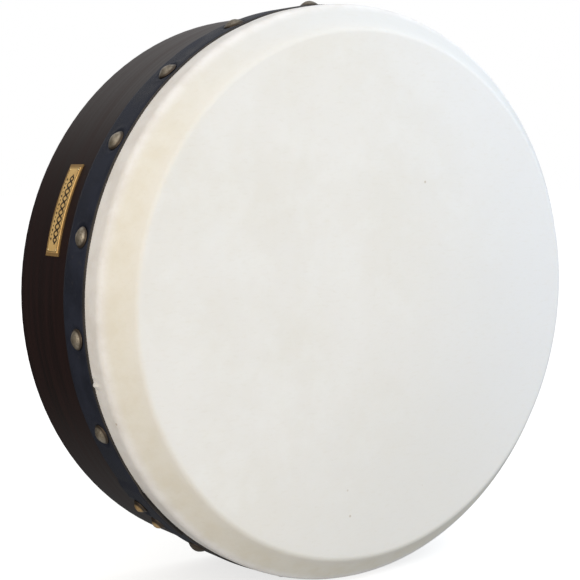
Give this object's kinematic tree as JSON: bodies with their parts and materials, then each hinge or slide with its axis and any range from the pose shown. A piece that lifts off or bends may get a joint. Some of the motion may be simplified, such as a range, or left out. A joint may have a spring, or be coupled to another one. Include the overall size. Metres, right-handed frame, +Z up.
{
  "type": "bodhran frame drum",
  "caption": "Round hand-held frame drum: goatskin head tacked over a wooden shell, open back with crossed bars, and a screw-driven inner ring that tightens the head.",
  "frame": {"origin": "middle of the crossed bars that the player's hand holds, on the drum's axis", "axes": "+Z up, the drum's axis along Y, the head faces -Y and the open back faces +Y"},
  "size_m": [0.4683, 0.1537, 0.4683],
  "materials": {
    "shell": "satin stained wood",
    "skin": "dry goatskin",
    "band": "satin band with a rolled bead",
    "antique_brass": "dull antique brass",
    "plate_brass": "polished brass",
    "ring_wood": "plain birch",
    "bracket_steel": "black oxide steel",
    "bolt_steel": "plated steel",
    "bar_wood": "satin stained wood"
  },
  "bodies": {
    "shell": {"shell": "shell", "skin": "skin", "trim_band": "band", "band_end": "band", "tacks": "antique_brass", "lap_tacks": "antique_brass", "name_plate": "plate_brass", "plate_pins": "plate_brass", "bracket_screws": "bolt_steel", "crossbar_level": "bar_wood", "crossbar_upright": "bar_wood", "crossbar_screws": "antique_brass", "tuner_bracket_1": "bracket_steel", "tuner_bracket_2": "bracket_steel", "tuner_bracket_3": "bracket_steel", "tuner_bracket_4": "bracket_steel", "tuner_bracket_5": "bracket_steel", "tuner_bracket_6": "bracket_steel", "tuner_bracket_7": "bracket_steel", "tuner_bracket_8": "bracket_steel", "crossbar_cleat_1": "bar_wood", "crossbar_cleat_2": "bar_wood", "crossbar_cleat_3": "bar_wood", "crossbar_cleat_4": "bar_wood"},
    "tuning_ring": {"tuning_ring": "ring_wood", "bearing_pad_1": "bolt_steel", "bearing_pad_2": "bolt_steel", "bearing_pad_3": "bolt_steel", "bearing_pad_4": "bolt_steel", "bearing_pad_5": "bolt_steel", "bearing_pad_6": "bolt_steel", "bearing_pad_7": "bolt_steel", "bearing_pad_8": "bolt_steel"},
    "tuning_bolt_1": {"tuning_bolt_1": "bolt_steel"},
    "tuning_bolt_2": {"tuning_bolt_2": "bolt_steel"},
    "tuning_bolt_3": {"tuning_bolt_3": "bolt_steel"},
    "tuning_bolt_4": {"tuning_bolt_4": "bolt_steel"},
    "tuning_bolt_5": {"tuning_bolt_5": "bolt_steel"},
    "tuning_bolt_6": {"tuning_bolt_6": "bolt_steel"},
    "tuning_bolt_7": {"tuning_bolt_7": "bolt_steel"},
    "tuning_bolt_8": {"tuning_bolt_8": "bolt_steel"}
  },
  "joints": [
    {"name": "ring_slide", "type": "slide", "parent": "shell", "child": "tuning_ring", "axis": [0, -1, 0], "range_m": [-0.004, 0.002], "deforming": ["skin"]},
    {"name": "bolt_1_turn", "type": "hinge", "parent": "tuning_ring", "child": "tuning_bolt_1", "pos_m": [0.19013, -0.075, 0.07876], "axis": [0, -1, 0], "range_deg": [-1441, 721]},
    {"name": "bolt_2_turn", "type": "hinge", "parent": "tuning_ring", "child": "tuning_bolt_2", "pos_m": [0.07876, -0.075, 0.19013], "axis": [0, -1, 0], "range_deg": [-1441, 721]},
    {"name": "bolt_3_turn", "type": "hinge", "parent": "tuning_ring", "child": "tuning_bolt_3", "pos_m": [-0.07876, -0.075, 0.19013], "axis": [0, -1, 0], "range_deg": [-1441, 721]},
    {"name": "bolt_4_turn", "type": "hinge", "parent": "tuning_ring", "child": "tuning_bolt_4", "pos_m": [-0.19013, -0.075, 0.07876], "axis": [0, -1, 0], "range_deg": [-1441, 721]},
    {"name": "bolt_5_turn", "type": "hinge", "parent": "tuning_ring", "child": "tuning_bolt_5", "pos_m": [-0.19013, -0.075, -0.07876], "axis": [0, -1, 0], "range_deg": [-1441, 721]},
    {"name": "bolt_6_turn", "type": "hinge", "parent": "tuning_ring", "child": "tuning_bolt_6", "pos_m": [-0.07876, -0.075, -0.19013], "axis": [0, -1, 0], "range_deg": [-1441, 721]},
    {"name": "bolt_7_turn", "type": "hinge", "parent": "tuning_ring", "child": "tuning_bolt_7", "pos_m": [0.07876, -0.075, -0.19013], "axis": [0, -1, 0], "range_deg": [-1441, 721]},
    {"name": "bolt_8_turn", "type": "hinge", "parent": "tuning_ring", "child": "tuning_bolt_8", "pos_m": [0.19013, -0.075, -0.07876], "axis": [0, -1, 0], "range_deg": [-1441, 721]}
  ],
  "couplings": [
    {"joint": "bolt_1_turn", "follows": "ring_slide", "rad_per_m": 6283.2},
    {"joint": "bolt_2_turn", "follows": "ring_slide", "rad_per_m": 6283.2},
    {"joint": "bolt_3_turn", "follows": "ring_slide", "rad_per_m": 6283.2},
    {"joint": "bolt_4_turn", "follows": "ring_slide", "rad_per_m": 6283.2},
    {"joint": "bolt_5_turn", "follows": "ring_slide", "rad_per_m": 6283.2},
    {"joint": "bolt_6_turn", "follows": "ring_slide", "rad_per_m": 6283.2},
    {"joint": "bolt_7_turn", "follows": "ring_slide", "rad_per_m": 6283.2},
    {"joint": "bolt_8_turn", "follows": "ring_slide", "rad_per_m": 6283.2}
  ]
}
